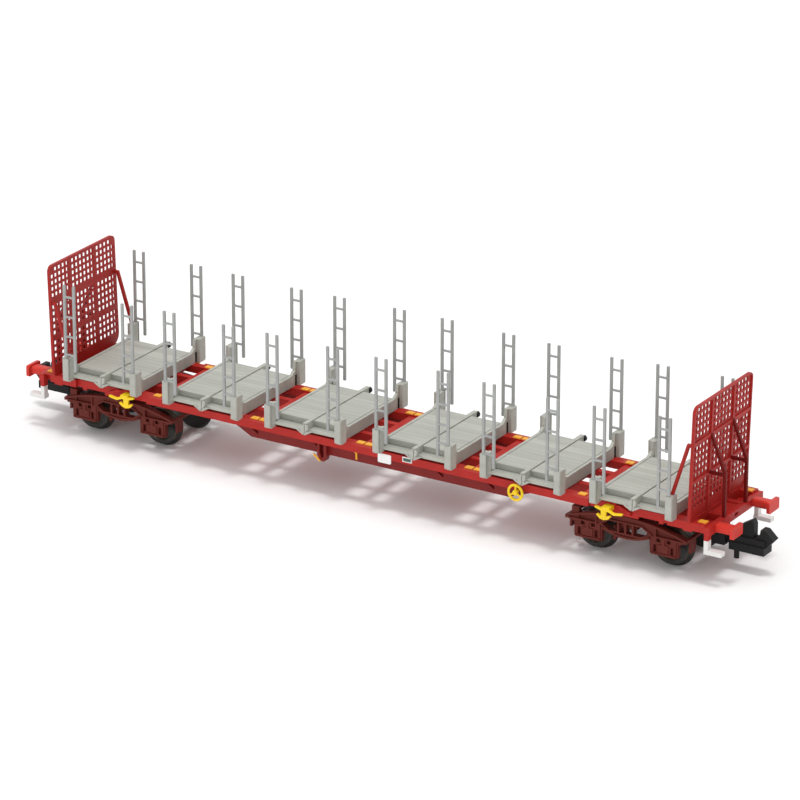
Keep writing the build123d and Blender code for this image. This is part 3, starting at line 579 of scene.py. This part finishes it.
class WAGON_OT_brake_gear(bpy.types.Operator):
    """Brake gear of the bogies: cross beams, curved shoes at the treads, hangers and pull rods"""
    bl_idname = "wagon.brake_gear"
    bl_label = "Brake gear"

    def rod(self, start, end, radius):
        """A rod between two points in millimetres, drawn out from an eight-sided ring."""
        start, end = Vector(start) * MM, Vector(end) * MM
        turn = (end - start).to_track_quat("Z", "Y").to_euler()
        bpy.ops.mesh.primitive_circle_add(vertices=8, radius=radius, fill_type="NGON",
                                          location=start, rotation=turn)
        if bpy.context.mode == "OBJECT":
            bpy.ops.object.mode_set(mode="EDIT")
            bpy.ops.mesh.select_all(action="SELECT")
        extrude(end - start)

    def shoe(self, axle, end, size):
        """A curved shoe on the inner side of a wheel, swept round its axle."""
        tilt, off_axle, steps = math.radians(20), 3.3 * MM, 6
        arm = Vector((-end * math.cos(tilt), 0, -math.sin(tilt))) * off_axle
        bpy.ops.mesh.primitive_plane_add(size=size, location=axle + arm,
                                         rotation=(0, -end * tilt, 0))
        bpy.ops.mesh.spin(steps=steps, angle=-2 * tilt * end, center=axle, axis=(0, 1, 0))

    def execute(self, context):
        size = context.scene.wagon_sizes.beam
        pull, bar, hanger = 0.85 * size, 0.5 * size, 0.35 * size
        # Millimetres from the pivot, from the middle line and above the floor
        axle_off, axle_up, tread = 6.25, 3.45, 4.85
        beam_off, beam_end, beam_up = 2.2, 4.5, 3.9
        pull_end, pull_side, pull_up = 2.4, 1.2, 4.85
        lever_low, lever_high = 3.7, 5.5
        hanger_side, hanger_lean, hanger_up = 4.3, 1.0, 5.7
        deselect()
        for side in (-pull_side, pull_side):
            self.rod((PIVOT - pull_end, side, pull_up), (PIVOT + pull_end, side, pull_up), pull)
        for end in (-1, 1):
            at = PIVOT + end * beam_off
            self.rod((at, -beam_end, beam_up), (at, beam_end, beam_up), bar)
            for side in (-pull_side, pull_side):
                self.rod((at, side, lever_low), (at, side, lever_high), bar)
            for side in (-1, 1):
                self.rod((at, side * hanger_side, beam_up),
                         (at - end * hanger_lean, side * hanger_side, hanger_up), hanger)
                self.shoe(Vector((PIVOT + end * axle_off, side * tread, axle_up)) * MM, end, size)
        brown = bpy.data.materials["moulded ABS oxide brown"]
        right = finished("brake_gear_right", brown, "bogie_right", angle=40)
        copied(right, "brake_gear_left", "bogie_left",
               Matrix.Translation((-2 * PIVOT * MM, 0, 0)))
        return {"FINISHED"}


class WAGON_OT_rib_ends(bpy.types.Operator):
    """Ends of the pallet ribs: a grey hook with a half-round lug near, and dark pieces that are
    painted shade
    """
    bl_idname = "wagon.rib_ends"
    bl_label = "Rib ends"

    def half_round(self, radius, flat, near, far):
        """A half-round disc: its flat side and its two faces are at these millimetres."""
        height, edge = 10.51, 0.05
        bpy.ops.mesh.primitive_cylinder_add(vertices=24, radius=radius, depth=(far - near) * MM,
                                            rotation=(math.pi / 2, 0, 0),
                                            location=Vector((flat, (near + far) / 2, height)) * MM)
        bpy.ops.mesh.bisect(plane_co=(flat * MM, 0, 0), plane_no=(1, 0, 0), use_fill=True,
                            clear_inner=True)
        bpy.ops.mesh.select_linked()
        bpy.ops.mesh.bevel(offset=edge * MM, segments=2, affect="EDGES", clamp_overlap=True)

    def execute(self, context):
        lug = context.scene.wagon_sizes.lug
        grey = bpy.data.materials["moulded ABS plank grey"]
        black = bpy.data.materials["moulded acetal black"]
        block(1.4, (-0.53, -9.12, 10.3), (1, 0.32, 1), first=True)
        # Two slanting cuts leave the hook's bill
        for height, slope in ((9.63, (-0.9, 0, -1.25)), (11.0, (-0.47, 0, 1.25))):
            bpy.ops.mesh.select_all(action="SELECT")
            bpy.ops.mesh.bisect(plane_co=(0.15 * MM, 0, height * MM), plane_no=slope,
                                use_fill=True, clear_outer=True)
        self.half_round(lug, flat=0.3, near=-9.4, far=-8.96)
        hook = finished("rib_hook", grey, "wagon", angle=40)
        on_each_pallet(hook)
        # Painted shade: a dark tongue behind the hook, so that the gap beside the lug looks shaded,
        # and a dark half-round at the far side, standing in for the far lug seen from its shaded
        # inner side
        block(0.3, (0.2, -8.88, 10.4), (1, 0.7, 3), first=True)
        round_blocks(0.03, segments=2)
        self.half_round(lug, flat=0.1, near=8.72, far=9.3)
        dark_rib_shade = finished("rib_shade_pieces", black, "wagon", angle=40)
        on_each_pallet(dark_rib_shade)
        return {"FINISHED"}


class WAGON_OT_slot_shade_strips(bpy.types.Operator):
    """Painted shade: dark strips in the upright slots between the pallets' end plates and posts,
    where the slots are in shade
    """
    bl_idname = "wagon.slot_backs"
    bl_label = "Slot shade strips"

    def execute(self, context):
        black = bpy.data.materials["moulded acetal black"]
        along, aside, height = 6.14, 7.68, 10.1
        places = [(end * along, side * aside, height) for end in (-1, 1) for side in (-1, 1)]
        for place in places:
            block(0.5, place, (0.28, 1, 3.5), first=place == places[0])
        round_blocks(0.02, segments=1)
        # Painted shade: the strips are dark pieces put where there is only shade
        shade_strips = finished("slot_shade_strips", black, "wagon", angle=40)
        on_each_pallet(shade_strips)
        return {"FINISHED"}


class WAGON_OT_centre_sill(bpy.types.Operator):
    """Webs and foot flanges of the centre sill, below the inner longitudinals between the bogies"""
    bl_idname = "wagon.centre_sill"
    bl_label = "Centre sill"

    def execute(self, context):
        red = bpy.data.materials["moulded ABS traffic red"]
        long, aside = 40, -2.7
        block(1, (0, aside, 7.1), (long, 0.3, 1.1), first=True)
        block(1, (0, aside, 6.5), (long, 0.9, 0.16))
        round_blocks(0.04, segments=2)
        near = finished("centre_sill_web_near", red, "wagon", angle=40)
        copied(near, "centre_sill_web_far", "wagon", HALF_TURN)
        return {"FINISHED"}


class WAGON_OT_pivot_screws(bpy.types.Operator):
    """Slotted screws that hold the bogies from below"""
    bl_idname = "wagon.pivot_screws"
    bl_label = "Pivot screws"

    def execute(self, context):
        screw = context.scene.wagon_sizes.screw
        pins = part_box("pivot_pins")
        bolster, head, play, into_pin = 5.4 * MM, 0.42 * MM, 0.1 * MM, 0.3 * MM
        rounding, collar = 0.12 * screw, 0.45 * screw
        half_slot, slot_end = 0.14 * screw, 0.5 * screw
        dome, slot_depth = 0.3 * head, 0.7 * head
        centre = Vector((PIVOT * MM, 0, bolster - play - head / 2))
        deselect()
        bpy.ops.mesh.primitive_cylinder_add(vertices=40, radius=screw, depth=head, location=centre)
        bpy.ops.object.mode_set(mode="EDIT")
        pick_faces(lambda at, way: way.z < -FACING)
        bpy.ops.mesh.inset(thickness=rounding)
        bpy.ops.transform.translate(value=(0, 0, -dome))
        for side in (-1, 1):
            bpy.ops.mesh.select_all(action="SELECT")
            bpy.ops.mesh.bisect(plane_co=centre + Vector((0, side * half_slot, 0)),
                                plane_no=(0, 1, 0))
        pick_faces(lambda at, way: way.z < -FACING and abs(at.y) < half_slot
                   and at.xy.length < slot_end)
        extrude((0, 0, slot_depth))
        pick_faces(lambda at, way: way.z > FACING and at.z > 0.4 * head)
        bpy.ops.mesh.inset(thickness=collar)
        extrude((0, 0, pins[0][2] - bolster + into_pin))
        # Zinc plating is a dull grey with a cloudy sheen
        steel = plated_metal("zinc plated screw steel", linear("#8A8780"), linear("#A8A49A"))
        right = finished("pivot_screw_right", steel, "wagon", angle=30)
        copied(right, "pivot_screw_left", "wagon", HALF_TURN)
        return {"FINISHED"}


class WAGON_OT_stage(bpy.types.Operator):
    """White floor, soft studio light and the camera"""
    bl_idname = "wagon.stage"
    bl_label = "Studio"

    def lay_floor(self, context):
        """Matt white paper, which has no sheen and can be looked through from below."""
        deselect()
        bpy.ops.mesh.primitive_plane_add(size=8, location=(0, 0, 0))
        floor = context.object
        floor.name = "studio_floor"
        material, tree, out = new_material("matt white paper sweep")
        white = rgba(context.scene.wagon_colours.floor_white)
        paper = add(tree, "ShaderNodeBsdfDiffuse", {"Color": white})
        clear = add(tree, "ShaderNodeBsdfTransparent")
        below = add(tree, "ShaderNodeNewGeometry").outputs["Backfacing"]
        mixed = add(tree, "ShaderNodeMixShader", {0: below, 1: paper.outputs[0],
                                                  2: clear.outputs[0]})
        tree.links.new(mixed.outputs[0], out.inputs["Surface"])
        floor.data.materials.append(material)

    def light(self, scene):
        """A world that is white where it is seen and dimmer as a light, and three soft lamps."""
        as_light, as_seen = 0.55, 1.0
        world = bpy.data.worlds.new("white studio")
        scene.world = world
        world.use_nodes = True
        tree = world.node_tree
        tree.nodes.clear()
        rays = add(tree, "ShaderNodeLightPath").outputs
        seen = rays["Is Camera Ray"]
        for kind in ("Is Glossy Ray", "Is Transmission Ray"):
            seen = add(tree, "ShaderNodeMath", {0: seen, 1: rays[kind]},
                       operation="MAXIMUM").outputs[0]
        level = add(tree, "ShaderNodeMapRange", {"Value": seen, "To Min": as_light,
                                                 "To Max": as_seen}).outputs["Result"]
        white = rgba(linear("#FFFFFF"))
        sky = add(tree, "ShaderNodeBackground", {"Color": white, "Strength": level})
        tree.links.new(sky.outputs[0], add(tree, "ShaderNodeOutputWorld").inputs["Surface"])
        # Strength in watts per square metre, spread in degrees, direction that it shines from
        lamps = (
            {"name": "overhead_lamp", "strength": 1.0, "spread": 12, "place": (0.09, -0.03, 1.0)},
            {"name": "overhead_soft_box", "strength": 0.75, "spread": 80, "place": (-0.2, 0.0, 1.0)},
            {"name": "front_fill", "strength": 0.95, "spread": 60, "place": (0.2, -1.0, 0.12)},
        )
        for lamp in lamps:
            light = bpy.data.lights.new(lamp["name"], "SUN")
            light.energy = lamp["strength"]
            light.angle = math.radians(lamp["spread"])
            holder = bpy.data.objects.new(lamp["name"], light)
            holder.rotation_mode = "QUATERNION"
            holder.rotation_quaternion = Vector(lamp["place"]).to_track_quat("Z", "Y")
            scene.collection.objects.link(holder)

    def set_camera(self, scene):
        """A camera at the photograph's viewing angle, fitted to the wagon in an 800 pixel frame."""
        focal_pixels, frame_pixels, sensor = 4983.5, 800, 36
        azimuth, elevation = math.radians(31.65), math.radians(21.46)
        target, distance = Vector((1.68, 0, 14.18)) * MM, 741.9 * MM
        camera = bpy.data.cameras.new("photo_camera")
        camera.sensor_width = sensor
        camera.lens = focal_pixels / frame_pixels * sensor
        camera.clip_start = 0.01
        camera.clip_end = 20
        holder = bpy.data.objects.new("photo_camera", camera)
        back = Vector((math.sin(azimuth) * math.cos(elevation),
                       -math.cos(azimuth) * math.cos(elevation), math.sin(elevation)))
        holder.location = target + back * distance
        holder.rotation_mode = "QUATERNION"
        holder.rotation_quaternion = (-back).to_track_quat("-Z", "Y")
        scene.collection.objects.link(holder)
        scene.camera = holder

    def execute(self, context):
        self.lay_floor(context)
        self.light(context.scene)
        self.set_camera(context.scene)
        context.scene.view_settings.view_transform = "Standard"
        return {"FINISHED"}


OPERATORS = (WAGON_OT_frame, WAGON_OT_walls, WAGON_OT_pallets, WAGON_OT_ladders,
             WAGON_OT_running_gear, WAGON_OT_couplers, WAGON_OT_fittings, WAGON_OT_handwheels,
             WAGON_OT_brake_gear, WAGON_OT_rib_ends, WAGON_OT_slot_shade_strips, WAGON_OT_centre_sill,
             WAGON_OT_pivot_screws, WAGON_OT_stage)


class WAGON_PT_panel(bpy.types.Panel):
    """Buttons for the wagon's pieces and settings"""
    bl_idname = "WAGON_PT_panel"
    bl_label = "Log carrier wagon"
    bl_space_type = "VIEW_3D"
    bl_region_type = "UI"
    bl_category = "Wagon"

    def draw(self, context):
        for operator in OPERATORS:
            self.layout.operator(operator.bl_idname)
        for group in (context.scene.wagon_colours, context.scene.wagon_sizes):
            for key in group.__annotations__:
                self.layout.prop(group, key)


CLASSES = (WagonColours, WagonSizes, *OPERATORS, WAGON_PT_panel)


def register():
    for cls in CLASSES:
        bpy.utils.register_class(cls)
    bpy.types.Scene.wagon_colours = bpy.props.PointerProperty(type=WagonColours)
    bpy.types.Scene.wagon_sizes = bpy.props.PointerProperty(type=WagonSizes)


def unregister():
    del bpy.types.Scene.wagon_sizes
    del bpy.types.Scene.wagon_colours
    for cls in reversed(CLASSES):
        bpy.utils.unregister_class(cls)


def main():
    register()
    for operator in OPERATORS:
        group, name = operator.bl_idname.split(".")
        getattr(getattr(bpy.ops, group), name)()


if __name__ == "__main__":
    main()
